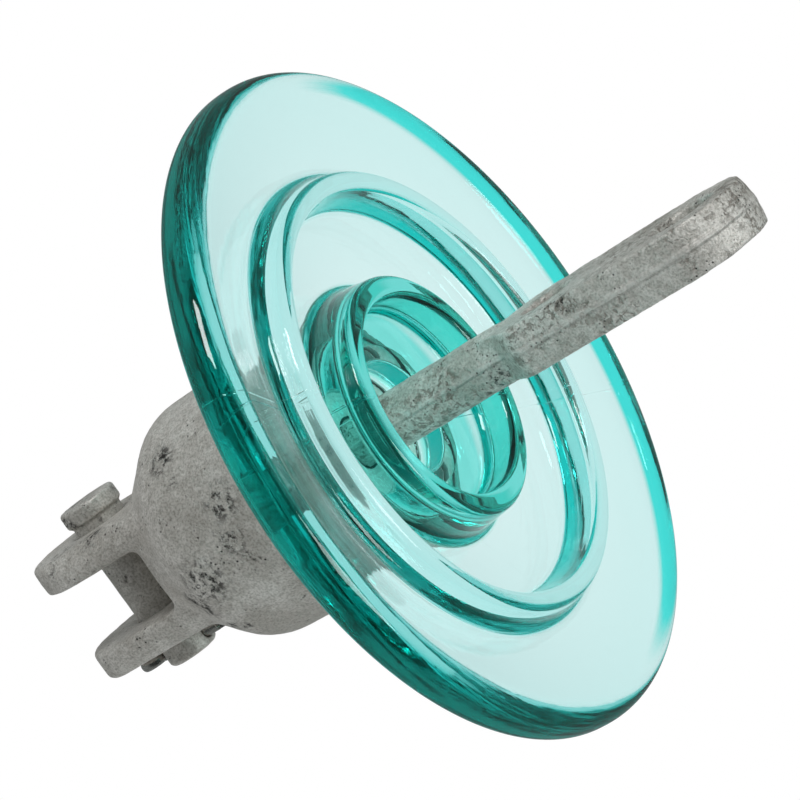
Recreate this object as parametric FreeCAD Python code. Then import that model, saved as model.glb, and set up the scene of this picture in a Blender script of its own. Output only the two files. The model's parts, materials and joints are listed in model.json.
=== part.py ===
"""Cap-and-pin suspension disc insulator with a clevis-and-tongue coupling.

Frame: origin on the clevis pin's axis, midway between the fork's ears. +Z points up, away
from the tongue, as the insulator hangs in service. X runs along the clevis pin, towards its
head, and the tongue's holes run along X too. Lengths are millimetres.

The metal cap is cemented over the glass shell's hollow head, and the tongue pin is cemented
inside it. Heights of the shell, the cap and the pin are counted from the shell's rim plane.
"""
import FreeCAD, Part
import math
import os

Vector = FreeCAD.Vector

# Overall sizes
shell_diameter = 200.0          # glass disc, over its rim
coupling_length = 206.0         # clevis pin axis to tongue eye axis
rim_drop = 116.0                # clevis pin axis down to the rim plane

# Glass shell, heights above the rim plane
rim_top = 4.8                   # where the top face would meet the outside, unrounded
rim_bottom = -8.8               # where the underside would meet the outside, unrounded
rim_top_rounding = 4.0
rim_bottom_rounding = 6.5
plate_top_at_shoulder = 19.5    # top face of the disc beside the cap
plate_shoulder_r = 46.0         # where the disc starts to rise into the head
middle_rib_r = 63.9             # middle of the outer drip rib
middle_rib_width = 5.2
middle_rib_tip = -6.4
middle_rib_root_out = 2.0
middle_rib_root_in = 4.2
inner_rib_r = 33.1              # middle of the inner drip rib
inner_rib_width = 6.4
inner_rib_tip = -2.3
inner_rib_root = 11.4
rib_draft = 2.2                 # how much a rib widens on a side from tip to root
rib_tip_rounding = 2.3
rib_root_rounding = 2.6
well_corner_z = 7.2             # where the well inside the inner rib starts to close in
cavity_mouth_z = 13.0
cavity_r = 17.5                 # pin cavity at its mouth
cavity_undercut = 0.8           # how much wider the cavity is further in
head_wall = 9.4                 # glass beside and above the cavity
head_top = 76.0
head_rounding = 14.0

# Cap
cement_gap = 4.2                # between the glass head and the cap's bore
cap_wall = 5.8
cap_lip_z = 27.0
cap_lip_band = 1.6              # how far the lip bead stands out
shoulder_z = 77.8               # where the bell turns in
neck_r = 20.9
neck_z = 99.4
bell_top = 100.5                # the fork's slot is cut down from here
bell_rounding = 16.0
cap_cushion_t = 2.5
lining_t = 0.8

# Fork
fork_gap = 20.5
ear_t = 9.6
ear_wall = 16.2                 # metal round the ear hole
ear_hole_clearance = 0.45       # radial, round the clevis pin
eye_room = 13.0                 # room under the clevis pin for the mating eye
fork_corner_trim = 28.5         # radius about Z that the fork's corners are cast to
slot_rounding = 2.0
relief_clearance = 1.2          # room round the swinging split pin, cut in the bell

# Clevis pin and split pin
clevis_pin_d = 16.0
clevis_head_overhang = 1.2
clevis_head_t = 5.4
clevis_head_standoff = 2.5      # gap under the head with the split pin against its ear side
clevis_tail = 7.7               # pin standing past the ear
clevis_end_chamfer = 1.0
split_wire_d = 4.0
split_hole_clearance = 0.25     # radial
split_hole_from_ear = 1.7       # ear face to the wire's near side
split_eye_r = 4.9
split_eye_hole_r = 2.6
split_eye_t = 3.4
split_eye_gap = 0.5             # eye to the clevis pin's surface
split_leg_past = 4.5            # short leg past the clevis pin
split_long_leg_extra = 2.0
split_slit = 0.5

# Tongue pin
shank_d = 16.0
pin_head_r = 14.5
pin_head_z = 50.0               # where the cone reaches its full width
pin_cone_start = 32.0
pin_top = 56.0
pin_coat_t = 0.8
pin_cushion_t = 2.5
pin_cushion_inset = 1.5
cement_recess = 13.0            # cement's face inside the cavity's mouth
tongue_t = 14.3
tongue_width = 34.6
tongue_eye_r = 18.6             # outside radius round the eye
eye_hole_d = 18.0
small_hole_d = 14.0
hole_pitch = 45.6               # eye to the smaller hole
shoulder_from_small_hole = 17.6
shoulder_length = 9.0
tongue_side_draft = 0.9         # how far the sides bulge at the parting line
hole_edge = 0.8
shank_runout = 7.5              # where the round shank fades into the flats
blank_margin = 5.0              # overshoot of cutting tools


def above_rim(height):
    """Z of a point given by its height above the rim plane."""
    return height - rim_drop


def corner_arc(before, corner, after, radius):
    """Tangent points and mid point of the arc that rounds a corner."""
    to_before = (before - corner).normalize()
    to_after = (after - corner).normalize()
    half = to_before.getAngle(to_after) / 2.0
    bisector = (to_before + to_after).normalize()
    start = corner + to_before * (radius / math.tan(half))
    end = corner + to_after * (radius / math.tan(half))
    middle = corner + bisector * (radius / math.sin(half) - radius)
    return start, middle, end


def rounded_wire(corners):
    """Closed wire through 3-D corners, each (point, rounding radius)."""
    count = len(corners)
    edges = []
    first = None
    last = None
    for index in range(count):
        point, radius = corners[index]
        start, end = point, point
        if radius > 0.0:
            before = corners[index - 1][0]
            after = corners[(index + 1) % count][0]
            start, middle, end = corner_arc(before, point, after, radius)
        if last is None:
            first = start
        else:
            edges.append(Part.LineSegment(last, start).toShape())
        if radius > 0.0:
            edges.append(Part.Arc(start, middle, end).toShape())
        last = end
    edges.append(Part.LineSegment(last, first).toShape())
    return Part.Wire(edges)


def turned(corners):
    """Solid of revolution about Z from corners (radius, height above the rim, rounding)."""
    points = [(Vector(r, 0, above_rim(height)), rounding) for r, height, rounding in corners]
    face = Part.Face(rounded_wire(points))
    return face.revolve(Vector(0, 0, 0), Vector(0, 0, 1), 360)


def rod_x(radius, low_x, high_x, z=0.0):
    """Cylinder along X at height z."""
    return Part.makeCylinder(radius, high_x - low_x, Vector(low_x, 0, z), Vector(1, 0, 0))


def box_between(low, high):
    """Box from its lowest to its highest corner."""
    size = [high[axis] - low[axis] for axis in range(3)]
    return Part.makeBox(size[0], size[1], size[2], Vector(*low))


# Values that follow from the driving sizes
rim_r = shell_diameter / 2.0
head_r = cavity_r + head_wall
cavity_top = head_top - head_wall
cap_bore_r = head_r + cement_gap
cap_r = cap_bore_r + cap_wall
crown_z = head_top + cap_cushion_t + lining_t
clevis_pin_r = clevis_pin_d / 2.0
ear_hole_r = clevis_pin_r + ear_hole_clearance
ear_r = ear_hole_r + ear_wall
ear_x = fork_gap / 2.0 + ear_t
fork_floor_z = -(clevis_pin_r + eye_room)
split_wire_r = split_wire_d / 2.0
split_x = -(ear_x + split_hole_from_ear + split_wire_r)
split_eye_z = clevis_pin_r + split_eye_gap + split_eye_r
relief_r = split_eye_z + split_eye_r + relief_clearance
shank_r = shank_d / 2.0
eye_z = -coupling_length
small_hole_z = eye_z + hole_pitch


def drip_rib(middle_r, width, tip, root_out, root_in):
    """Corners of one drip rib on the underside, from its outer root to its inner root."""
    half = width / 2.0
    return [
        (middle_r + half + rib_draft, root_out, rib_root_rounding),
        (middle_r + half, tip, rib_tip_rounding),
        (middle_r - half, tip, rib_tip_rounding),
        (middle_r - half - rib_draft, root_in, rib_root_rounding),
    ]


def cavity_corners(bottom, inset=0.0):
    """Corners of the pin cavity's outline, from its bottom to its top centre."""
    wide_r = cavity_r + cavity_undercut - inset
    return [
        (cavity_r - inset, bottom, 0.0),
        (wide_r, pin_cone_start, 0.0),
        (wide_r, cavity_top - inset, head_rounding - inset - 1.0),
        (0.0, cavity_top - inset, 0.0),
    ]


def make_glass_shell():
    """Toughened glass disc with its rounded rim, two drip ribs and hollow head."""
    top_side = [
        (0.0, head_top, 0.0),
        (head_r, head_top, head_rounding),
        (head_r, plate_top_at_shoulder + 4.0, 5.0),
        (plate_shoulder_r, plate_top_at_shoulder, 12.0),
        (rim_r, rim_top, rim_top_rounding),
        (rim_r, rim_bottom, rim_bottom_rounding),
    ]
    ribs = drip_rib(middle_rib_r, middle_rib_width, middle_rib_tip,
                    middle_rib_root_out, middle_rib_root_in)
    inner = drip_rib(inner_rib_r, inner_rib_width, inner_rib_tip, inner_rib_root, well_corner_z)
    well_wall_r = inner_rib_r - inner_rib_width / 2.0
    inner[3] = (well_wall_r, well_corner_z, 4.0)
    well = [(cavity_r + 4.0, cavity_mouth_z - 1.4, 2.0), (cavity_r, cavity_mouth_z, 0.0)]
    return turned(top_side + ribs + inner + well + cavity_corners(cavity_mouth_z)[1:])


def bore_corners(inset):
    """Corners of the cap's bore, or of a layer that lines it, from the lip's height up."""
    flare_r = cap_bore_r + 1.6 - inset
    return [
        (flare_r, cap_lip_z, 0.0),
        (flare_r, cap_lip_z + 6.0, 1.5),
        (cap_bore_r - inset, cap_lip_z + 11.0, 1.5),
        (cap_bore_r - inset, crown_z - inset, head_rounding - inset),
        (0.0, crown_z - inset, 0.0),
    ]


def bore_solid(inset):
    """Solid that fills the cap's bore, drawn in by inset."""
    return turned(bore_corners(inset) + [(0.0, cap_lip_z, 0.0)])


def make_bell():
    """Turned bell of the cap, with its bore, up into the fork."""
    lip_r = cap_r + 0.6 + cap_lip_band
    outside = [
        (0.0, bell_top, 0.0),
        (neck_r, bell_top, 0.0),
        (neck_r, neck_z, 5.0),
        (cap_r, shoulder_z, bell_rounding),
        (cap_r + 0.6, cap_lip_z + 9.0, 3.0),
        (lip_r, cap_lip_z + 6.5, 2.0),
        (lip_r, cap_lip_z, 2.2),
    ]
    return turned(outside + bore_corners(0.0))


def make_fork():
    """Two ears with the slot between them, reaching down into the bell."""
    root_z = above_rim(shoulder_z + 12.0)
    ears = rod_x(ear_r, -ear_x, ear_x)
    ears = ears.fuse(box_between((-ear_x, -ear_r, root_z), (ear_x, ear_r, 0.0)))
    envelope = Part.makeCylinder(fork_corner_trim, ear_r - root_z, Vector(0, 0, root_z))
    ears = ears.common(envelope)
    half = fork_gap / 2.0
    top = ear_r + blank_margin
    corners = [
        (Vector(-half, -ear_r - blank_margin, top), 0.0),
        (Vector(half, -ear_r - blank_margin, top), 0.0),
        (Vector(half, -ear_r - blank_margin, fork_floor_z), slot_rounding),
        (Vector(-half, -ear_r - blank_margin, fork_floor_z), slot_rounding),
    ]
    slot = Part.Face(rounded_wire(corners)).extrude(Vector(0, 2.0 * (ear_r + blank_margin), 0))
    return ears, slot


def make_cap():
    """Galvanised cast cap: bell, fork ears, ear holes and the reliefs beside the ears."""
    ears, slot = make_fork()
    cap = make_bell().fuse(ears).cut(slot)
    reach = ear_x + blank_margin
    cap = cap.cut(rod_x(ear_hole_r, -reach, reach))
    for side in (-1, 1):
        ends = sorted((side * ear_x, side * (cap_r + blank_margin)))
        cap = cap.cut(rod_x(relief_r, ends[0], ends[1]))
    return cap.removeSplitter()


def make_cap_lining():
    """Thin bituminous coat on the cap's bore."""
    return bore_solid(0.0).cut(bore_solid(lining_t))


def make_cap_cushion():
    """Resilient disc between the glass head's top and the cap's crown."""
    radius = head_r - head_rounding
    return Part.makeCylinder(radius, cap_cushion_t, Vector(0, 0, above_rim(head_top)))


def make_cap_cement(glass, cushion):
    """Cement between the lined bore and the glass head."""
    lip_step = Part.makeCylinder(cap_r, 1.0, Vector(0, 0, above_rim(cap_lip_z)))
    return bore_solid(lining_t).cut(lip_step).cut(glass).cut(cushion).cut(head_blank())


def head_blank():
    """Space inside the glass head, so that the cap's cement leaves it empty."""
    return turned([(0.0, cavity_mouth_z, 0.0)] + cavity_corners(cavity_mouth_z))


def tongue_section(x, inset):
    """Outline of the tongue in the plane at x, drawn in by inset at its sides."""
    half = tongue_width / 2.0 - inset
    eye_half = tongue_eye_r - inset
    tip = eye_z - tongue_eye_r + inset
    stem = shank_r - 1.5
    top = small_hole_z + shoulder_from_small_hole
    right = [
        (stem, top + 4.0, 0.0),
        (stem, top, 6.0),
        (half, top - shoulder_length, 8.0 - inset),
        (half, small_hole_z, 40.0),
        (eye_half, eye_z + eye_half, 40.0),
        (eye_half, tip, eye_half - 0.05),
    ]
    left = [(-y, z, radius) for y, z, radius in reversed(right)]
    return rounded_wire([(Vector(x, y, z), radius) for y, z, radius in right + left])


def make_tongue():
    """Flat tongue with sides that bulge to a parting line, and its two holes."""
    half = tongue_t / 2.0
    outer = tongue_section(0.0, 0.0)
    tongue = Part.makeLoft([tongue_section(-half, tongue_side_draft), outer,
                            tongue_section(half, tongue_side_draft)], True, True)
    for z, diameter in ((eye_z, eye_hole_d), (small_hole_z, small_hole_d)):
        radius = diameter / 2.0
        tongue = tongue.cut(rod_x(radius, -half - blank_margin, half + blank_margin, z))
        for side in (-1, 1):
            mouth = Part.makeCone(radius, radius + hole_edge, hole_edge,
                                  Vector(side * (half - hole_edge), 0, z), Vector(side, 0, 0))
            tongue = tongue.cut(mouth)
    return tongue


def make_tongue_pin():
    """Forged steel pin: conical head, round shank and flat tongue."""
    fade = small_hole_z + shoulder_from_small_hole + rim_drop
    shaft = turned([
        (0.0, pin_top, 0.0),
        (pin_head_r, pin_top, 1.5),
        (pin_head_r, pin_head_z, 2.0),
        (shank_r, pin_cone_start, 6.0),
        (shank_r, fade, 0.0),
        (tongue_t / 2.0 - 0.3, fade - shank_runout, 0.0),
        (0.0, fade - shank_runout, 0.0),
    ])
    return shaft.fuse(make_tongue()).removeSplitter()


def make_pin_coat(tongue_pin):
    """Thin bituminous coat on the cone of the pin's head."""
    coat = turned([
        (0.0, pin_top, 0.0),
        (pin_head_r + pin_coat_t, pin_top, 0.0),
        (pin_head_r + pin_coat_t, pin_head_z, 2.0),
        (shank_r + pin_coat_t, pin_cone_start, 4.0),
        (shank_r + pin_coat_t, pin_cone_start - 6.0, 0.0),
        (0.0, pin_cone_start - 6.0, 0.0),
    ])
    return coat.cut(tongue_pin)


def make_pin_cushion():
    """Resilient disc on the pin head's end."""
    radius = pin_head_r - pin_cushion_inset
    return Part.makeCylinder(radius, pin_cushion_t, Vector(0, 0, above_rim(pin_top)))


def make_pin_cement(tongue_pin, coat, cushion):
    """Cement that fills the glass head's cavity round the pin."""
    mouth = cavity_mouth_z + cement_recess
    plug = head_blank().cut(Part.makeCylinder(head_r, cement_recess,
                                              Vector(0, 0, above_rim(cavity_mouth_z))))
    shank = Part.makeCylinder(shank_r, pin_cone_start, Vector(0, 0, above_rim(mouth) - 1.0))
    return plug.cut(tongue_pin).cut(coat).cut(cushion).cut(shank)


def make_clevis_pin():
    """Steel clevis pin with a button head and a cross hole for the split pin."""
    end_x = -(ear_x + clevis_tail)
    under_head = ear_x + clevis_head_standoff
    head_r_here = clevis_pin_r + clevis_head_overhang
    pin = rod_x(clevis_pin_r - clevis_end_chamfer, end_x, end_x + clevis_end_chamfer)
    pin = Part.makeCone(clevis_pin_r - clevis_end_chamfer, clevis_pin_r, clevis_end_chamfer,
                        Vector(end_x, 0, 0), Vector(1, 0, 0)).fuse(pin)
    pin = pin.fuse(rod_x(clevis_pin_r, end_x + clevis_end_chamfer, under_head + 1.0))
    head = rod_x(head_r_here, under_head, under_head + clevis_head_t)
    rims = [edge for edge in head.Edges if isinstance(edge.Curve, Part.Circle)]
    head = head.makeFillet(1.1, rims)
    hole_r = split_wire_r + split_hole_clearance
    hole = Part.makeCylinder(hole_r, clevis_pin_d * 2.0, Vector(split_x, 0, -clevis_pin_d))
    return pin.fuse(head).cut(hole).removeSplitter()


def make_split_pin():
    """Split pin: an eye and two parallel legs of unequal length."""
    short_tip = -(clevis_pin_r + split_leg_past)
    long_tip = short_tip - split_long_leg_extra
    ring_low = split_x - split_eye_t / 2.0
    ring_high = split_x + split_eye_t / 2.0
    pin = rod_x(split_eye_r, ring_low, ring_high, split_eye_z)
    legs = Part.makeCylinder(split_wire_r, split_eye_z - long_tip, Vector(split_x, 0, long_tip))
    pin = pin.fuse(legs).cut(rod_x(split_eye_hole_r, ring_low - 1.0, ring_high + 1.0, split_eye_z))
    half = split_slit / 2.0
    slit = box_between((split_x - split_wire_d, -half, long_tip - 1.0),
                       (split_x + split_wire_d, half, split_eye_z))
    short_cut = box_between((split_x - split_wire_d, 0.0, long_tip - 1.0),
                            (split_x + split_wire_d, split_wire_d, short_tip))
    return pin.cut(slit).cut(short_cut).removeSplitter()


def build():
    """Every sub-part of the insulator by its node name."""
    glass = make_glass_shell()
    cushion = make_cap_cushion()
    tongue_pin = make_tongue_pin()
    coat = make_pin_coat(tongue_pin)
    pin_cushion = make_pin_cushion()
    return {
        "cap": make_cap(),
        "cap_lining": make_cap_lining(),
        "cap_cement": make_cap_cement(glass, cushion),
        "cap_cushion": cushion,
        "glass_shell": glass,
        "pin_cement": make_pin_cement(tongue_pin, coat, pin_cushion),
        "pin_coat": coat,
        "pin_cushion": pin_cushion,
        "tongue_pin": tongue_pin,
        "clevis_pin": make_clevis_pin(),
        "split_pin": make_split_pin(),
    }


os.makedirs("parts", exist_ok=True)
for name, shape in build().items():
    solids = shape.Solids
    print(name, len(solids), "solid", round(shape.Volume / 1000.0, 2), "cm3", shape.isValid())
    result = solids[0] if len(solids) == 1 else shape
    result.exportStep("parts/" + name + ".step")
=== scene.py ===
"""Finish of a cap-and-pin glass disc insulator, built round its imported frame.

Each operator makes one piece, or one group of like pieces, in the frame's own place. The glass
disc and the split pin are modelled here. The castings and forgings start from copies of the
frame's own solids and get their cast and forged surfaces here.
"""
import json
import math

import bmesh
import bpy
from bpy.props import FloatProperty, FloatVectorProperty, IntProperty, PointerProperty
from mathutils import Matrix, Vector


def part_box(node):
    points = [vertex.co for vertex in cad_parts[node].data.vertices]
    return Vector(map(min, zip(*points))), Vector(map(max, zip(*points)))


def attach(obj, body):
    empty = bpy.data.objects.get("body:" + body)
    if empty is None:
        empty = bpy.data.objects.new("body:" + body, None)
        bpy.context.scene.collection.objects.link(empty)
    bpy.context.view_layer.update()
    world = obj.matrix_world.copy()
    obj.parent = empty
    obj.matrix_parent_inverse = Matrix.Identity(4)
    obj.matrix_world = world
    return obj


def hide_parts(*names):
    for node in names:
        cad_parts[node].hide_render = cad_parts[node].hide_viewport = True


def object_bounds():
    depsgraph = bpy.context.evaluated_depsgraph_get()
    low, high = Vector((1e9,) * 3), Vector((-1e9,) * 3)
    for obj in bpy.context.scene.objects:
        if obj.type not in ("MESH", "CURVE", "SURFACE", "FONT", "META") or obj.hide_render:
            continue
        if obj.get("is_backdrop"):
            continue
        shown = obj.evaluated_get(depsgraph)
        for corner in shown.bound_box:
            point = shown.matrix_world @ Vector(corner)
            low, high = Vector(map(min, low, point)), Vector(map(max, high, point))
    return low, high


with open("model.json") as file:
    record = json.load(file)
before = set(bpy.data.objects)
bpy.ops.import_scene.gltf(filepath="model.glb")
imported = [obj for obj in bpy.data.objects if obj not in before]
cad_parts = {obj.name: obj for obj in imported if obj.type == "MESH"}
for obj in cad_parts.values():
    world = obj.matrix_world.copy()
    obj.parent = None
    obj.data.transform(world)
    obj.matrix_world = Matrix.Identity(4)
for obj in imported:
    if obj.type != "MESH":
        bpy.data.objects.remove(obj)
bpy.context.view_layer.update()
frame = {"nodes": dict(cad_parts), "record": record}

bl_info = {
    "name": "Glass disc insulator finish",
    "version": (1, 0, 0),
    "blender": (4, 5, 0),
    "location": "3D View > Sidebar > Insulator",
    "description": "Glass, castings, forgings and stage for a cap-and-pin disc insulator",
    "category": "Object",
}

MM = 0.001

# Torn dark marks on the cap, each (centre in mm, reach in mm)
CAP_MARKS = (
    ((10.6, -35.7, -62.5), 8.0),
    ((0.2, -37.0, -59.4), 6.0),
    ((-5.9, -36.5, -43.5), 10.0),
    ((27.8, -24.4, -46.6), 7.0),
    ((-11.7, -31.6, -34.0), 8.0),
    ((20.0, -19.0, -8.0), 6.0),
    ((20.0, -16.0, 5.0), 6.0),
    ((-20.0, 12.0, -12.0), 7.0),
    ((22.0, 28.0, -55.0), 9.0),
    ((-30.0, 19.0, -70.0), 8.0),
)


# ---------------------------------------------------------------- settings

class GlassSettings(bpy.types.PropertyGroup):
    """Sizes and colour of the glass disc, heights counted from its rim plane."""
    rim_drop: FloatProperty(name="Rim drop", description="Clevis pin axis down to the rim plane",
                            default=116.0 * MM, subtype="DISTANCE")
    rim_radius: FloatProperty(name="Rim radius", description="Outer radius of the disc",
                              default=100.0 * MM, subtype="DISTANCE")
    tint: FloatVectorProperty(name="Tint", description="Colour left after the absorbing depth",
                              default=(0.23, 0.70, 0.68), subtype="COLOR", min=0.0, max=1.0)
    depth: FloatProperty(name="Absorbing depth", description="Glass depth that gives the tint",
                         default=50.0 * MM, subtype="DISTANCE")
    rim_tint: FloatVectorProperty(name="Rim tint", description="Added colour of the rim's nose",
                                  default=(0.006, 0.69, 0.635), subtype="COLOR",
                                  min=0.0, max=1.0)
    rib_tint: FloatVectorProperty(name="Rib tint", description="Added colour of the inner rib",
                                  default=(0.13, 0.80, 0.72), subtype="COLOR", min=0.0, max=1.0)
    well_tint: FloatVectorProperty(name="Well tint", description="Added colour round the pin",
                                   default=(0.78, 0.94, 0.92), subtype="COLOR",
                                   min=0.0, max=1.0)
    seam: FloatProperty(name="Seam side", description="Bearing square to the mould seam",
                        default=math.radians(23.3), subtype="ANGLE")
    turns: IntProperty(name="Turning steps", description="Facets round the disc", default=288)


class MetalSettings(bpy.types.PropertyGroup):
    """Colours and grain of the galvanised castings and forgings."""
    zinc: FloatVectorProperty(name="Zinc", description="Weathered zinc, the main tone",
                              default=(0.34, 0.325, 0.30), subtype="COLOR", min=0.0, max=1.0)
    # Also used as the painted highlight along the forging's parting line.
    zinc_bloom_and_highlight: FloatVectorProperty(name="Light zinc", description="Brighter zinc bloom",
                                    default=(0.51, 0.50, 0.475), subtype="COLOR", min=0.0, max=1.0)
    soot: FloatVectorProperty(name="Soot", description="Dark of the pits and scuffs",
                              default=(0.035, 0.033, 0.03), subtype="COLOR", min=0.0, max=1.0)
    rust: FloatVectorProperty(name="Rust", description="Brown mottle of the forging",
                              default=(0.15, 0.12, 0.09), subtype="COLOR", min=0.0, max=1.0)
    cast_voxel: FloatProperty(name="Casting grain", description="Mesh size of the cap",
                              default=0.8 * MM, subtype="DISTANCE")
    forged_voxel: FloatProperty(name="Forging grain", description="Mesh size of the pin",
                                default=0.55 * MM, subtype="DISTANCE")


class StageSettings(bpy.types.PropertyGroup):
    """Camera, floor and light."""
    distance: FloatProperty(name="Camera distance", description="Camera to the rim plane",
                            default=0.823, subtype="DISTANCE")
    azimuth: FloatProperty(name="Azimuth", description="Camera's bearing round the insulator",
                           default=math.radians(7.27), subtype="ANGLE")
    slope: FloatProperty(name="View slope", description="Angle between the view and the axis",
                         default=math.radians(59.58), subtype="ANGLE")
    roll: FloatProperty(name="Axis slant", description="Slant of the axis in the view",
                        default=math.radians(31.56), subtype="ANGLE")
    aside: FloatProperty(name="Aside", description="How far left of the rim's centre to aim",
                         default=9.7 * MM, subtype="DISTANCE")
    below: FloatProperty(name="Below", description="How far below the rim's centre to aim",
                         default=1.2 * MM, subtype="DISTANCE")
    lens: FloatProperty(name="Lens", description="Camera lens, in mm", default=136.3)
    gap: FloatProperty(name="Floor gap", description="Floor below the hanging insulator",
                       default=0.012, subtype="DISTANCE")


def settings():
    """The scene's three groups of settings: glass, metal and stage."""
    scene = bpy.context.scene
    return scene.insulator_glass, scene.insulator_metal, scene.insulator_stage


# ---------------------------------------------------------------- mesh tools

def only(piece):
    """Deselects everything and makes the piece the selected, active object."""
    bpy.ops.object.select_all(action="DESELECT")
    piece.select_set(True)
    bpy.context.view_layer.objects.active = piece


def named_active(name):
    """Names the object that an operator has just added, and its mesh."""
    piece = bpy.context.view_layer.objects.active
    piece.name = name
    piece.data.name = name
    return piece


def add_modifier(piece, kind, **values):
    """Adds a modifier to the piece, sets its values and applies it."""
    only(piece)
    modifier = piece.modifiers.new(kind.lower(), kind)
    for key, value in values.items():
        setattr(modifier, key, value)
    bpy.ops.object.modifier_apply(modifier=modifier.name)


def edit(piece, mode="VERT"):
    """Opens the piece in edit mode with nothing selected."""
    only(piece)
    bpy.ops.object.mode_set(mode="EDIT")
    bpy.ops.mesh.select_mode(type=mode)
    bpy.ops.mesh.select_all(action="DESELECT")
    return bmesh.from_edit_mesh(piece.data)


def close_edit(piece):
    """Merges doubles, points the faces outwards and leaves edit mode."""
    bpy.ops.mesh.select_all(action="SELECT")
    bpy.ops.mesh.remove_doubles(threshold=0.002 * MM)
    bpy.ops.mesh.normals_make_consistent(inside=False)
    bpy.ops.object.mode_set(mode="OBJECT")
    bpy.ops.object.shade_smooth()


def settle(piece, slot, *nodes):
    """Puts the piece's place into its mesh, ties it to its body and hides its nodes. The slot is
    not used.
    """
    only(piece)
    bpy.ops.object.transform_apply(location=True, rotation=True, scale=True)
    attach(piece, piece_body(nodes[0]))
    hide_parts(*nodes)


def piece_body(node):
    """The body that a node belongs to."""
    bodies = frame["record"]["behaviour"]["bodies"]
    return next(body for body, members in bodies.items() if node in members)


def copy_of_node(node, name):
    """A merged copy of a node's solid, as a piece of its own."""
    piece = bpy.data.objects.new(name, frame["nodes"][node].data.copy())
    bpy.context.scene.collection.objects.link(piece)
    piece.data.name = name
    piece.data.materials.clear()
    edit(piece)
    close_edit(piece)
    return piece


def grain_texture(name, size, depth):
    """Soft cloud texture for a displace modifier, of the given blob size."""
    texture = bpy.data.textures.new(name, "CLOUDS")
    texture.noise_scale = size
    texture.noise_depth = depth
    return texture


def weathered_solid(node, name, voxel, softening, swells):
    """A copy of a node, remeshed evenly, softened and given an uneven surface.

    Each swell is (blob size, height) of one layer of unevenness.
    """
    piece = copy_of_node(node, name)
    add_modifier(piece, "REMESH", mode="VOXEL", voxel_size=voxel, use_smooth_shade=True)
    add_modifier(piece, "SMOOTH", factor=0.5, iterations=softening)
    for index, (size, height) in enumerate(swells):
        texture = grain_texture(f"{name}_grain_{index}", size, 2)
        add_modifier(piece, "DISPLACE", texture=texture, strength=height, mid_level=0.5,
                     texture_coords="LOCAL")
    return piece


# ---------------------------------------------------------------- shader tools

class Shade:
    """Short ways to lay out one node tree, left to right."""

    def __init__(self, tree):
        self.tree = tree

    def node(self, kind, inputs=None, **values):
        """Adds a node, sets its values and joins or sets its inputs."""
        node = self.tree.nodes.new(kind)
        node.location = (200 * len(self.tree.nodes), 0)
        for key, value in values.items():
            setattr(node, key, value)
        for key, value in (inputs or {}).items():
            self.feed(node.inputs[key], value)
        return node

    def feed(self, socket, value):
        """Joins a socket to an output, or sets it to a constant."""
        if isinstance(value, bpy.types.NodeSocket):
            self.tree.links.new(value, socket)
        else:
            socket.default_value = value

    def math(self, operation, first, second=0.0, clamp=False):
        """Output of one sum on two values."""
        return self.node("ShaderNodeMath", {0: first, 1: second}, operation=operation,
                         use_clamp=clamp).outputs[0]

    def ramp(self, factor, low, high):
        """Smooth step of a value from low to high."""
        node = self.node("ShaderNodeMapRange", {"Value": factor, "From Min": low,
                                                "From Max": high},
                         interpolation_type="SMOOTHSTEP")
        return node.outputs["Result"]

    def mix(self, factor, first, second, blend="MIX"):
        """Output of a colour mix."""
        node = self.node("ShaderNodeMix", data_type="RGBA", blend_type=blend)
        self.feed(node.inputs[0], factor)
        self.feed(node.inputs[6], first)
        self.feed(node.inputs[7], second)
        return node.outputs[2]

    def noise(self, where, scale, detail=4.0, roughness=0.55, distortion=0.0):
        """Height of a noise at a place."""
        return self.node("ShaderNodeTexNoise", {"Vector": where, "Scale": scale,
                                                "Detail": detail, "Roughness": roughness,
                                                "Distortion": distortion}).outputs[0]

    def place(self):
        """The surface point in the frame's own metres."""
        return self.node("ShaderNodeTexCoord").outputs["Object"]


def new_group(name, inputs, outputs):
    """Shader group with named float or colour sockets, and its input and output nodes."""
    kinds = {"float": "NodeSocketFloat", "color": "NodeSocketColor", "vector": "NodeSocketVector"}
    tree = bpy.data.node_groups.new(name, "ShaderNodeTree")
    for label, kind, value in inputs:
        socket = tree.interface.new_socket(label, in_out="INPUT", socket_type=kinds[kind])
        if value is not None:
            socket.default_value = value
    for label, kind in outputs:
        tree.interface.new_socket(label, in_out="OUTPUT", socket_type=kinds[kind])
    shade = Shade(tree)
    enter = shade.node("NodeGroupInput")
    leave = shade.node("NodeGroupOutput")
    return shade, enter.outputs, leave.inputs


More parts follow.
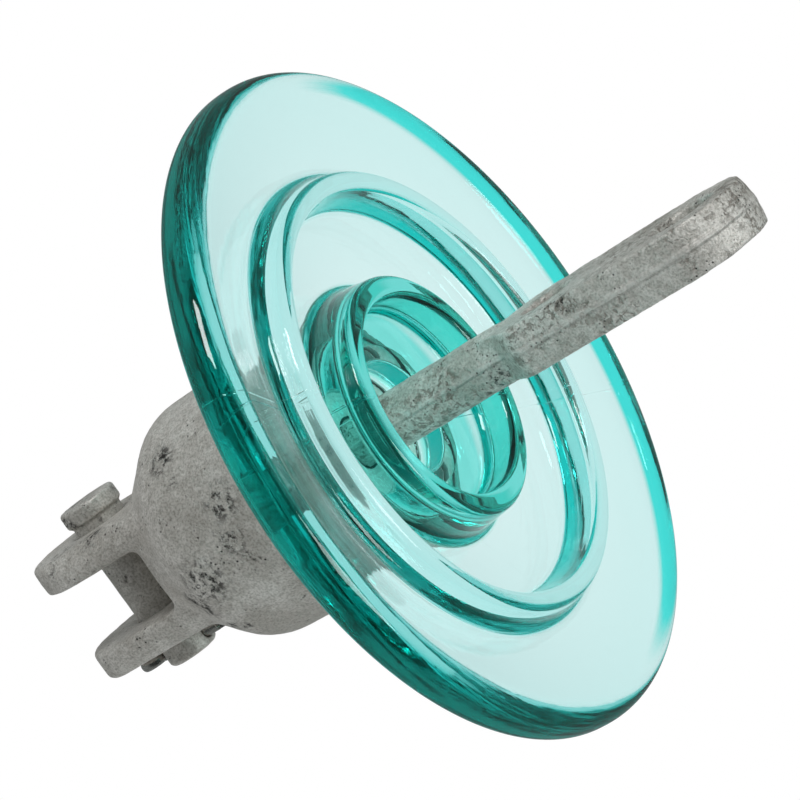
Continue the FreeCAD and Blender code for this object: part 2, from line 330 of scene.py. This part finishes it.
def zinc_group():
    """Cloudy hot-dip zinc: tone, gloss and fine relief."""
    shade, given, out = new_group(
        "hot_dip_zinc",
        [("Place", "vector", None), ("Tone", "color", (0.3, 0.3, 0.29, 1)),
         ("Bloom", "color", (0.44, 0.45, 0.45, 1)), ("Grain", "float", 1.0)],
        [("Color", "color"), ("Roughness", "float"), ("Height", "float")])
    broad = shade.noise(given["Place"], 38.0, 5.0, 0.6, 0.4)
    fine = shade.noise(given["Place"], 420.0, 4.0, 0.65)
    speck = shade.noise(given["Place"], 1500.0, 3.0, 0.6)
    cloud = shade.ramp(shade.math("ADD", shade.math("MULTIPLY", broad, 0.6),
                                  shade.math("MULTIPLY", fine, 0.4)), 0.38, 0.64)
    tone = shade.mix(cloud, given["Tone"], given["Bloom"])
    shadow = shade.ramp(speck, 0.30, 0.62)
    darker = shade.mix(shadow, (0.62, 0.62, 0.60, 1), (1, 1, 1, 1))
    shade.feed(out["Color"], shade.mix(1.0, tone, darker, "MULTIPLY"))
    rough = shade.node("ShaderNodeMapRange", {"Value": fine, "From Min": 0.3, "From Max": 0.7,
                                              "To Min": 0.34, "To Max": 0.62}).outputs["Result"]
    shade.feed(out["Roughness"], rough)
    grain = shade.math("ADD", shade.math("MULTIPLY", fine, 0.65),
                       shade.math("MULTIPLY", speck, 0.35))
    shade.feed(out["Height"], shade.math("MULTIPLY", grain, given["Grain"]))
    return shade.tree


def pits_group():
    """Small dark pits, clustered where a slow noise is high."""
    shade, given, out = new_group(
        "casting_pits",
        [("Place", "vector", None), ("Scale", "float", 700.0), ("Spread", "float", 0.5)],
        [("Mask", "float")])
    cells = shade.node("ShaderNodeTexVoronoi", {"Vector": given["Place"],
                                                "Scale": given["Scale"],
                                                "Randomness": 1.0}).outputs["Distance"]
    dot = shade.math("SUBTRACT", 1.0, shade.ramp(cells, 0.10, 0.30))
    region = shade.noise(given["Place"], 95.0, 3.0, 0.6)
    where = shade.ramp(region, shade.math("ADD", given["Spread"], 0.02),
                       shade.math("ADD", given["Spread"], 0.12))
    shade.feed(out["Mask"], shade.math("MULTIPLY", dot, where, clamp=True))
    return shade.tree


def scuffs_group():
    """Torn dark scuffs, a few patches over the whole piece."""
    shade, given, out = new_group(
        "dark_scuffs",
        [("Place", "vector", None), ("Scale", "float", 60.0), ("Spread", "float", 0.64)],
        [("Mask", "float")])
    patch = shade.noise(given["Place"], given["Scale"], 2.0, 0.5, 0.3)
    torn = shade.noise(given["Place"], 520.0, 5.0, 0.7)
    worn = shade.ramp(patch, given["Spread"], shade.math("ADD", given["Spread"], 0.08))
    shade.feed(out["Mask"], shade.math("MULTIPLY", worn, shade.ramp(torn, 0.50, 0.62),
                                       clamp=True))
    return shade.tree


GROUPS = {}


def effect(shade, name, inputs):
    """Places a shared effect group, built on first use, in a material."""
    makers = {"hot_dip_zinc": zinc_group, "casting_pits": pits_group,
              "dark_scuffs": scuffs_group}
    if name not in GROUPS:
        GROUPS[name] = makers[name]()
    node = shade.node("ShaderNodeGroup", node_tree=GROUPS[name])
    for key, value in inputs.items():
        shade.feed(node.inputs[key], value)
    return node.outputs


def new_material(name):
    """An empty node material and its output node."""
    material = bpy.data.materials.new(name)
    material.use_nodes = True
    material.node_tree.nodes.clear()
    shade = Shade(material.node_tree)
    return material, shade, shade.node("ShaderNodeOutputMaterial")


def bump(shade, height, distance, strength=1.0):
    """Normal output of a bump node."""
    return shade.node("ShaderNodeBump", {"Height": height, "Distance": distance,
                                         "Strength": strength}).outputs["Normal"]


def rgba(color, scale=1.0):
    """A colour setting as four numbers."""
    return (color[0] * scale, color[1] * scale, color[2] * scale, 1.0)


def near_marks(shade, where, marks):
    """How close a point is to any of the marks, each (centre in mm, reach in mm)."""
    total = 0.0
    for centre, reach in marks:
        spot = tuple(value * MM for value in centre)
        away = shade.node("ShaderNodeVectorMath", {0: where, 1: spot},
                          operation="DISTANCE").outputs["Value"]
        near = shade.math("SUBTRACT", 1.0, shade.ramp(away, reach * 0.25 * MM, reach * MM))
        total = shade.math("MAXIMUM", near, total)
    return total


def forged_skin_and_highlight(shade, where, color, height, tone_scale):
    """Adds a brown mottle, and a raised parting line round the middle plane with a painted
    highlight along it, to colour and height.
    """
    metal = settings()[1]
    curds = shade.ramp(shade.noise(where, 520.0, 4.0, 0.6, 0.8), 0.50, 0.60)
    region = shade.ramp(shade.noise(where, 70.0, 3.0, 0.6), 0.40, 0.58)
    mottle = shade.math("MULTIPLY", curds, region)
    color = shade.mix(shade.math("MULTIPLY", mottle, 0.62), color, rgba(metal.rust))
    height = shade.math("SUBTRACT", height, shade.math("MULTIPLY", mottle, 0.9))
    across = shade.node("ShaderNodeSeparateXYZ", {"Vector": where}).outputs["X"]
    wander = shade.math("MULTIPLY", shade.noise(where, 60.0, 2.0), 1.2 * MM)
    off = shade.math("ABSOLUTE", shade.math("SUBTRACT", across, wander))
    parting_ridge_and_highlight = shade.math("SUBTRACT", 1.0, shade.ramp(off, 0.3 * MM, 1.3 * MM))
    # Painted highlight: the band along the parting line is lightened towards light zinc. The
    # raised line itself is real relief.
    color = shade.mix(shade.math("MULTIPLY", parting_ridge_and_highlight, 0.35), color,
                      rgba(metal.zinc_bloom_and_highlight, tone_scale))
    return color, shade.math("ADD", height, shade.math("MULTIPLY", parting_ridge_and_highlight, 1.6))


def galvanised(name, tone_scale, pit_scale, pit_spread, scuff_spread, grain=1.0, marks=(),
               forged=False):
    """Galvanised iron or steel with pits, dark scuffs and torn marks at given places.

    A forged piece also gets a brown mottle and a raised parting line round its middle plane,
    lightened along its length as a painted highlight.
    """
    metal = settings()[1]
    material, shade, output = new_material(name)
    where = shade.place()
    zinc = effect(shade, "hot_dip_zinc", {"Place": where, "Tone": rgba(metal.zinc, tone_scale),
                                          "Bloom": rgba(metal.zinc_bloom_and_highlight, tone_scale),
                                          "Grain": grain})
    pits = effect(shade, "casting_pits", {"Place": where, "Scale": pit_scale,
                                          "Spread": pit_spread})["Mask"]
    scuffs = effect(shade, "dark_scuffs", {"Place": where, "Spread": scuff_spread})["Mask"]
    torn = shade.ramp(shade.noise(where, 430.0, 5.0, 0.72), 0.47, 0.60)
    worn = shade.math("MULTIPLY", torn, near_marks(shade, where, marks))
    dirt = shade.math("MAXIMUM", shade.math("MAXIMUM", pits, scuffs), worn)
    color = zinc["Color"]
    height = shade.math("SUBTRACT", zinc["Height"], shade.math("MULTIPLY", dirt, 0.8))
    if forged:
        color, height = forged_skin_and_highlight(shade, where, color, height, tone_scale)
    color = shade.mix(dirt, color, rgba(metal.soot))
    surface = shade.node("ShaderNodeBsdfPrincipled", {
        "Base Color": color,
        "Metallic": 0.5,
        "Roughness": zinc["Roughness"],
        "Normal": bump(shade, height, 0.35 * MM),
    })
    shade.feed(output.inputs["Surface"], surface.outputs["BSDF"])
    return material


def glass_material():
    """Pale aqua glass that deepens to teal with depth, faintly wavy, with a mould seam."""
    glass = settings()[0]
    material, shade, output = new_material("aqua_glass")
    where = shade.place()
    split = shade.node("ShaderNodeSeparateXYZ", {"Vector": where}).outputs
    flat = shade.node("ShaderNodeVectorMath", {0: where, 1: (1, 1, 0)}, operation="MULTIPLY")
    radius = shade.node("ShaderNodeVectorMath", {0: flat.outputs[0]},
                        operation="LENGTH").outputs["Value"]
    bearing = shade.math("MULTIPLY", shade.math("ARCTAN2", split["Y"], split["X"]), 4.0 * MM)
    round_the_axis = shade.node("ShaderNodeCombineXYZ", {"X": radius, "Y": bearing,
                                                         "Z": split["Z"]}).outputs[0]
    streaks = shade.noise(round_the_axis, 330.0, 3.0, 0.6)
    wave = shade.math("ADD", shade.noise(where, 26.0, 2.0, 0.5),
                      shade.math("MULTIPLY", streaks, 0.22))
    seam_side = (math.cos(glass.seam), math.sin(glass.seam), 0)
    off_seam = shade.node("ShaderNodeVectorMath", {0: where, 1: seam_side},
                          operation="DOT_PRODUCT").outputs["Value"]
    seam = shade.math("SUBTRACT", 1.0, shade.ramp(shade.math("ABSOLUTE", off_seam),
                                                  0.10 * MM, 0.45 * MM))
    wave = shade.math("ADD", wave, shade.math("MULTIPLY", seam, 0.5))
    rim = glass.rim_radius
    outer = shade.ramp(radius, rim - 3.6 * MM, rim - 1.8 * MM)
    rib = shade.math("MULTIPLY", shade.ramp(radius, 26.5 * MM, 29.0 * MM),
                     shade.math("SUBTRACT", 1.0, shade.ramp(radius, 37.5 * MM, 41.0 * MM)))
    well = shade.math("SUBTRACT", 1.0, shade.ramp(radius, 24.0 * MM, 29.0 * MM))
    thick = shade.mix(outer, (1, 1, 1, 1), rgba(glass.rim_tint))
    thick = shade.mix(rib, thick, rgba(glass.rib_tint))
    thick = shade.mix(well, thick, rgba(glass.well_tint))
    surface = shade.node("ShaderNodeBsdfPrincipled", {
        "Base Color": thick,
        "Metallic": 0.0,
        "Roughness": 0.0,
        "IOR": 1.52,
        "Transmission Weight": 1.0,
        "Normal": bump(shade, wave, 0.5 * MM, 0.35),
    })
    shade.feed(output.inputs["Surface"], surface.outputs["BSDF"])
    density = max(-math.log(max(share, 0.001)) for share in glass.tint) / glass.depth
    hue = [1.0 + math.log(max(share, 0.001)) / glass.depth / density for share in glass.tint]
    depth = shade.node("ShaderNodeVolumeAbsorption", {"Color": (*hue, 1.0), "Density": density})
    shade.feed(output.inputs["Volume"], depth.outputs["Volume"])
    return material


def plain_filler(name, dark, light, scale, roughness, relief):
    """Cement, bitumen or felt: two tones of grain with relief."""
    material, shade, output = new_material(name)
    where = shade.place()
    grain = shade.noise(where, scale, 6.0, 0.65)
    color = shade.mix(shade.ramp(grain, 0.35, 0.65), dark, light)
    surface = shade.node("ShaderNodeBsdfPrincipled", {
        "Base Color": color,
        "Metallic": 0.0,
        "Roughness": roughness,
        "Normal": bump(shade, grain, relief),
    })
    shade.feed(output.inputs["Surface"], surface.outputs["BSDF"])
    return material


def bright_wire():
    """Drawn stainless wire with fine lengthwise marks."""
    material, shade, output = new_material("bright_wire")
    where = shade.node("ShaderNodeMapping", {"Vector": shade.place(), "Scale": (1, 1, 0.15)})
    marks = shade.noise(where.outputs["Vector"], 2600.0, 3.0, 0.6)
    color = shade.mix(shade.ramp(marks, 0.3, 0.7), (0.42, 0.40, 0.37, 1), (0.62, 0.60, 0.57, 1))
    surface = shade.node("ShaderNodeBsdfPrincipled", {
        "Base Color": color,
        "Metallic": 1.0,
        "Roughness": shade.math("ADD", shade.math("MULTIPLY", marks, 0.2), 0.14),
        "Normal": bump(shade, marks, 0.03 * MM),
    })
    shade.feed(output.inputs["Surface"], surface.outputs["BSDF"])
    return material


def dress(piece, material):
    """Gives a piece one material all over."""
    piece.data.materials.clear()
    piece.data.materials.append(material)


# ---------------------------------------------------------------- the glass disc

def disc_corners(glass):
    """Corners (radius, height over the rim plane, rounding) of the disc's outline, in mm.

    They run from the top of the head out over the disc, back along the ribbed underside and
    up into the pin cavity. Faces in contact with cement stand a hair proud, so that the
    cement shows through the glass with no gap.
    """
    contact = 0.08
    rim = glass.rim_radius / MM
    return [
        (0.0, 76.0 + contact, 0.0),
        (26.9 + contact, 76.0 + contact, 14.0),
        (26.9 + contact, 23.5, 5.0),
        (46.0, 19.5, 12.0),
        (rim, 4.8, 4.0),
        (rim, -8.8, 6.5),
        (68.7, 2.0, 3.4),
        (66.5, -6.4, 2.3),
        (61.3, -6.4, 2.3),
        (59.1, 4.2, 2.6),
        (38.5, 11.4, 2.6),
        (36.3, -2.3, 2.3),
        (29.9, -2.3, 2.3),
        (29.9, 7.2, 4.0),
        (21.5, 11.6, 2.0),
        (17.5 - contact, 13.0, 0.8),
        (18.3 - contact, 32.0, 0.0),
        (18.3 - contact, 66.6 - contact, 13.0),
        (0.0, 66.6 - contact, 0.0),
    ]


def draw_outline(piece, corners, drop):
    """Extrudes a single vertex through the corners, in the XZ plane."""
    mesh = edit(piece)
    bpy.ops.mesh.select_all(action="SELECT")
    bpy.ops.mesh.merge(type="CENTER")
    points = [Vector((r * MM, 0, h * MM - drop)) for r, h, _ in corners]
    bpy.ops.transform.translate(value=points[0] - mesh.verts[:][0].co)
    for before, after in zip(points, points[1:]):
        bpy.ops.mesh.extrude_region_move(TRANSFORM_OT_translate={"value": after - before})


def round_corners(piece, corners, drop):
    """Bevels each corner vertex of an outline to its own rounding."""
    for index in range(1, len(corners) - 1):
        r, h, rounding = corners[index]
        if rounding <= 0.0:
            continue
        here = Vector((r, 0, h))
        before = Vector((corners[index - 1][0], 0, corners[index - 1][1]))
        after = Vector((corners[index + 1][0], 0, corners[index + 1][1]))
        half = (before - here).angle(after - here) / 2.0
        bpy.ops.mesh.select_all(action="DESELECT")
        mesh = bmesh.from_edit_mesh(piece.data)
        spot = Vector((r * MM, 0, h * MM - drop))
        nearest = min(mesh.verts, key=lambda vertex: (vertex.co - spot).length)
        nearest.select_set(True)
        mesh.select_flush_mode()
        bmesh.update_edit_mesh(piece.data)
        bpy.ops.mesh.bevel(offset=rounding * MM / math.tan(half), offset_type="OFFSET",
                           segments=max(4, int(rounding * 2.0) + 3), affect="VERTICES",
                           clamp_overlap=False)


def divide_long_edges(piece, longest):
    """Cuts outline edges longer than the given length into even steps."""
    for cuts in (3, 1):
        mesh = bmesh.from_edit_mesh(piece.data)
        bpy.ops.mesh.select_all(action="DESELECT")
        for side in mesh.edges:
            if side.calc_length() > longest * (cuts + 1) / 2.0:
                side.select_set(True)
        bmesh.update_edit_mesh(piece.data)
        if any(side.select for side in mesh.edges):
            bpy.ops.mesh.subdivide(number_cuts=cuts)


class INSULATOR_OT_glass_disc(bpy.types.Operator):
    """Turn the glass disc with its thick rim, drip ribs and hollow head"""
    bl_idname = "insulator.glass_disc"
    bl_label = "Glass disc"

    def execute(self, context):
        glass = settings()[0]
        corners = disc_corners(glass)
        bpy.ops.mesh.primitive_plane_add(size=0.01)
        disc = named_active("glass_disc")
        draw_outline(disc, corners, glass.rim_drop)
        round_corners(disc, corners, glass.rim_drop)
        divide_long_edges(disc, 3.0 * MM)
        bpy.ops.mesh.select_all(action="SELECT")
        bpy.ops.mesh.spin(steps=glass.turns, angle=2.0 * math.pi, center=(0, 0, 0),
                          axis=(0, 0, 1), use_auto_merge=True)
        close_edit(disc)
        dress(disc, glass_material())
        disc.visible_shadow = False  # so that the lamps reach the cap behind the glass
        settle(disc, "glass", "glass_shell")
        return {"FINISHED"}


# ---------------------------------------------------------------- iron and steel

class INSULATOR_OT_cap_casting(bpy.types.Operator):
    """Cast the cap: even mesh, soft cast edges and an uneven skin"""
    bl_idname = "insulator.cap_casting"
    bl_label = "Cap casting"

    def execute(self, context):
        voxel = settings()[1].cast_voxel
        cap = weathered_solid("cap", "cap_casting", voxel, 26,
                              ((11.0 * MM, 0.35 * MM), (3.0 * MM, 0.16 * MM)))
        dress(cap, galvanised("cast_zinc", tone_scale=1.42, pit_scale=620.0, pit_spread=0.52,
                              scuff_spread=0.64, marks=CAP_MARKS))
        settle(cap, "cap", "cap")
        return {"FINISHED"}


class INSULATOR_OT_tongue_forging(bpy.types.Operator):
    """Forge the tongue pin: soft edges, a parting line with a painted highlight and a mottled zinc
    skin
    """
    bl_idname = "insulator.tongue_forging"
    bl_label = "Tongue forging"

    def execute(self, context):
        voxel = settings()[1].forged_voxel
        tongue = weathered_solid("tongue_pin", "tongue_forging", voxel, 18,
                                 ((9.0 * MM, 0.35 * MM), (1.8 * MM, 0.26 * MM)))
        # The forged zinc carries a painted highlight along the parting line.
        dress(tongue, galvanised("forged_zinc_and_highlight", tone_scale=1.5, pit_scale=800.0, pit_spread=0.47,
                                 scuff_spread=0.64, grain=1.6, forged=True))
        settle(tongue, "tongue_pin", "tongue_pin")
        return {"FINISHED"}


class INSULATOR_OT_clevis_bolt(bpy.types.Operator):
    """Finish the clevis pin with its button head and worn zinc"""
    bl_idname = "insulator.clevis_bolt"
    bl_label = "Clevis pin"

    def execute(self, context):
        bolt = weathered_solid("clevis_pin", "clevis_bolt", 0.4 * MM, 5,
                               ((5.0 * MM, 0.14 * MM),))
        dress(bolt, galvanised("pin_zinc", tone_scale=1.3, pit_scale=1000.0, pit_spread=0.5,
                               scuff_spread=0.62, grain=0.8))
        settle(bolt, "clevis_pin", "clevis_pin")
        return {"FINISHED"}


class INSULATOR_OT_split_pin(bpy.types.Operator):
    """Bend the split pin: a round eye and two half-round legs of unequal length"""
    bl_idname = "insulator.split_pin"
    bl_label = "Split pin"

    def execute(self, context):
        low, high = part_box("split_pin")
        across = (low.x + high.x) / 2.0
        wire = (high.x - low.x) / 2.0 - 0.05 * MM
        eye = 4.9 * MM
        bpy.ops.mesh.primitive_torus_add(location=(across, 0, high.z - eye),
                                         rotation=(0, math.pi / 2.0, 0),
                                         major_radius=eye - 1.1 * MM, minor_radius=1.1 * MM,
                                         major_segments=64, minor_segments=20)
        pin = named_active("split_pin_wire")
        bpy.ops.object.transform_apply(location=True, rotation=True)
        edit(pin)
        bpy.ops.mesh.select_all(action="SELECT")
        bpy.ops.transform.resize(value=(1.5, 1, 1), center_override=(across, 0, high.z - eye))
        close_edit(pin)
        top = high.z - 2.0 * eye + 1.6 * MM
        legs = [self.leg(across, wire, top, low.z, 1.0),
                self.leg(across, wire, top, low.z + 2.0 * MM, -1.0)]
        only(pin)
        for leg in legs:
            leg.select_set(True)
        bpy.ops.object.join()
        bpy.ops.object.shade_smooth_by_angle(angle=math.radians(50.0))
        dress(pin, bright_wire())
        settle(pin, "split_pin", "split_pin")
        return {"FINISHED"}

    def leg(self, across, wire, top, tip, side):
        """One half-round leg with a rounded tip, on the given side of the slit."""
        bpy.ops.mesh.primitive_cylinder_add(radius=wire, depth=top - tip, vertices=40,
                                            location=(across, 0, (top + tip) / 2.0))
        leg = named_active("leg")
        bpy.ops.object.transform_apply(location=True)
        edit(leg)
        bpy.ops.mesh.select_all(action="SELECT")
        bpy.ops.mesh.bisect(plane_co=(across, side * 0.2 * MM, 0), plane_no=(0, side, 0),
                            use_fill=True, clear_inner=True)
        bpy.ops.object.mode_set(mode="OBJECT")
        add_modifier(leg, "BEVEL", width=0.45 * MM, segments=3, limit_method="ANGLE")
        return leg


# ---------------------------------------------------------------- hidden layers

class INSULATOR_OT_fillers(bpy.types.Operator):
    """Give the cement, the bitumen coats and the cushions their finishes"""
    bl_idname = "insulator.fillers"
    bl_label = "Cement, coats and cushions"

    def execute(self, context):
        cement = plain_filler("cured_cement", (0.55, 0.54, 0.50, 1), (0.78, 0.77, 0.73, 1),
                              900.0, 0.9, 0.3 * MM)
        bitumen = plain_filler("bitumen_coat", (0.010, 0.009, 0.008, 1),
                               (0.028, 0.026, 0.022, 1), 300.0, 0.45, 0.1 * MM)
        felt = plain_filler("soaked_felt", (0.09, 0.06, 0.035, 1), (0.17, 0.12, 0.07, 1),
                            1800.0, 0.95, 0.3 * MM)
        finishes = {"cement": cement, "lining": bitumen, "cushion": felt}
        for part in frame["record"]["subparts"]:
            finish = finishes.get(part["material_slot"])
            if finish is not None:
                dress(frame["nodes"][part["node"]], finish)
        return {"FINISHED"}


# ---------------------------------------------------------------- stage

def view_axes(stage):
    """Camera's right, up and back directions in the row frame."""
    slope = stage.slope
    around = stage.azimuth
    toward = Vector((math.sin(around), -math.cos(around), 0.0))
    back = toward * math.sin(slope) - Vector((0, 0, 1)) * math.cos(slope)
    across = Vector((math.cos(around), math.sin(around), 0.0))
    tongue_way = -back.cross(across).normalized()
    right = tongue_way * math.cos(stage.roll) - across * math.sin(stage.roll)
    up = tongue_way * math.sin(stage.roll) + across * math.cos(stage.roll)
    return right, up, back


class INSULATOR_OT_stage(bpy.types.Operator):
    """Set the camera, the pale floor and soft studio light"""
    bl_idname = "insulator.stage"
    bl_label = "Camera, floor and light"

    def execute(self, context):
        glass, _, stage = settings()
        right, up, back = view_axes(stage)
        rim_centre = Vector((0, 0, -glass.rim_drop))
        self.make_camera(context, stage, rim_centre, right, up, back)
        self.make_floor(stage)
        self.make_world(back)
        self.make_lights(rim_centre, right, up, back)
        return {"FINISHED"}

    def make_camera(self, context, stage, target, right, up, back):
        """Camera at the stage's bearing, with its small shift."""
        bpy.ops.object.camera_add()
        camera = context.view_layer.objects.active
        camera.name = "camera"
        camera.data.sensor_width = 36.0
        camera.data.lens = stage.lens
        place = target + back * stage.distance - right * stage.aside - up * stage.below
        camera.matrix_world = Matrix((
            (right.x, up.x, back.x, place.x),
            (right.y, up.y, back.y, place.y),
            (right.z, up.z, back.z, place.z),
            (0, 0, 0, 1)))
        context.scene.camera = camera

    def make_floor(self, stage):
        """Pale floor that shows from above, and lets light and the view from below through."""
        low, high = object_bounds()
        bpy.ops.mesh.primitive_plane_add(size=6.0, location=(0, 0, low.z - stage.gap))
        floor = named_active("floor")
        material, shade, output = new_material("pale_floor")
        paint = shade.node("ShaderNodeBsdfPrincipled", {"Base Color": (0.82, 0.82, 0.81, 1),
                                                        "Roughness": 0.7})
        clear = shade.node("ShaderNodeBsdfTransparent")
        side = shade.math("MAXIMUM", shade.node("ShaderNodeNewGeometry").outputs["Backfacing"],
                          shade.node("ShaderNodeLightPath").outputs["Is Glossy Ray"])
        mixed = shade.node("ShaderNodeMixShader", {0: side, 1: paint.outputs["BSDF"],
                                                   2: clear.outputs["BSDF"]})
        shade.feed(output.inputs["Surface"], mixed.outputs["Shader"])
        dress(floor, material)
        floor.visible_shadow = False  # the lamps stand below it, on the camera's side
        floor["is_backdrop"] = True

    def make_world(self, back):
        """White surroundings, dark on the camera's side, or sea green as seen through glass."""
        world = bpy.data.worlds.new("studio")
        world.use_nodes = True
        world.node_tree.nodes.clear()
        shade = Shade(world.node_tree)
        toward = shade.node("ShaderNodeTexCoord").outputs["Generated"]
        facing = shade.node("ShaderNodeVectorMath", {0: toward, 1: back},
                            operation="DOT_PRODUCT").outputs["Value"]
        dim = shade.ramp(facing, 0.05, 0.75)
        ray = shade.node("ShaderNodeLightPath").outputs
        dusk = shade.mix(ray["Is Transmission Ray"], (0.03, 0.035, 0.035, 1),
                         (0.002, 0.30, 0.26, 1))
        mirrored = shade.math("SUBTRACT", ray["Is Glossy Ray"], ray["Is Transmission Ray"],
                              clamp=True)
        bright = shade.mix(mirrored, (1, 1, 1, 1), (0.20, 0.22, 0.22, 1))
        tone = shade.mix(dim, bright, dusk)
        sky = shade.node("ShaderNodeBackground", {"Color": tone, "Strength": 1.0})
        output = shade.node("ShaderNodeOutputWorld")
        shade.feed(output.inputs["Surface"], sky.outputs["Background"])
        bpy.context.scene.world = world

    def make_lights(self, target, right, up, back):
        """Two large soft boxes."""
        # name, place from the rim's centre in m, width in m, power in W
        boxes = (("key", right * -0.35 + up * 0.9 + back * 0.95, 0.4, 7.0),
                 ("fill", right * 0.9 + up * 0.1 + back * 0.75, 0.45, 3.6))
        for name, offset, size, power in boxes:
            bpy.ops.object.light_add(type="AREA")
            lamp = bpy.context.view_layer.objects.active
            lamp.name = name
            lamp.data.size = size
            lamp.data.energy = power
            lamp.location = target + offset
            lamp.rotation_mode = "QUATERNION"
            lamp.rotation_quaternion = offset.to_track_quat("Z", "Y")


# ---------------------------------------------------------------- panel and run

PIECES = (
    INSULATOR_OT_glass_disc,
    INSULATOR_OT_cap_casting,
    INSULATOR_OT_tongue_forging,
    INSULATOR_OT_clevis_bolt,
    INSULATOR_OT_split_pin,
    INSULATOR_OT_fillers,
    INSULATOR_OT_stage,
)


class INSULATOR_PT_panel(bpy.types.Panel):
    """Sidebar panel that lists the pieces and their settings"""
    bl_label = "Insulator"
    bl_idname = "INSULATOR_PT_panel"
    bl_space_type = "VIEW_3D"
    bl_region_type = "UI"
    bl_category = "Insulator"

    def draw(self, context):
        for group in settings():
            box = self.layout.box()
            for key in group.__annotations__:
                box.prop(group, key)
        for piece in PIECES:
            self.layout.operator(piece.bl_idname)


CLASSES = (GlassSettings, MetalSettings, StageSettings, *PIECES, INSULATOR_PT_panel)


def register():
    """Registers the classes and their settings."""
    for item in CLASSES:
        bpy.utils.register_class(item)
    bpy.types.Scene.insulator_glass = PointerProperty(type=GlassSettings)
    bpy.types.Scene.insulator_metal = PointerProperty(type=MetalSettings)
    bpy.types.Scene.insulator_stage = PointerProperty(type=StageSettings)


def unregister():
    """Removes the settings and the classes."""
    del bpy.types.Scene.insulator_stage
    del bpy.types.Scene.insulator_metal
    del bpy.types.Scene.insulator_glass
    for item in reversed(CLASSES):
        bpy.utils.unregister_class(item)


def set_renderer(scene):
    """Plain colour transform, denoising, and enough bounces for thick glass."""
    scene.view_settings.view_transform = "Standard"
    scene.cycles.use_denoising = True
    scene.cycles.max_bounces = 40
    scene.cycles.transmission_bounces = 40
    scene.cycles.glossy_bounces = 24
    scene.cycles.transparent_max_bounces = 16
    scene.cycles.caustics_refractive = True


def main():
    """Makes every piece in order."""
    register()
    for piece in PIECES:
        group, name = piece.bl_idname.split(".")
        getattr(getattr(bpy.ops, group), name)()
    set_renderer(bpy.context.scene)


if __name__ == "__main__":
    main()
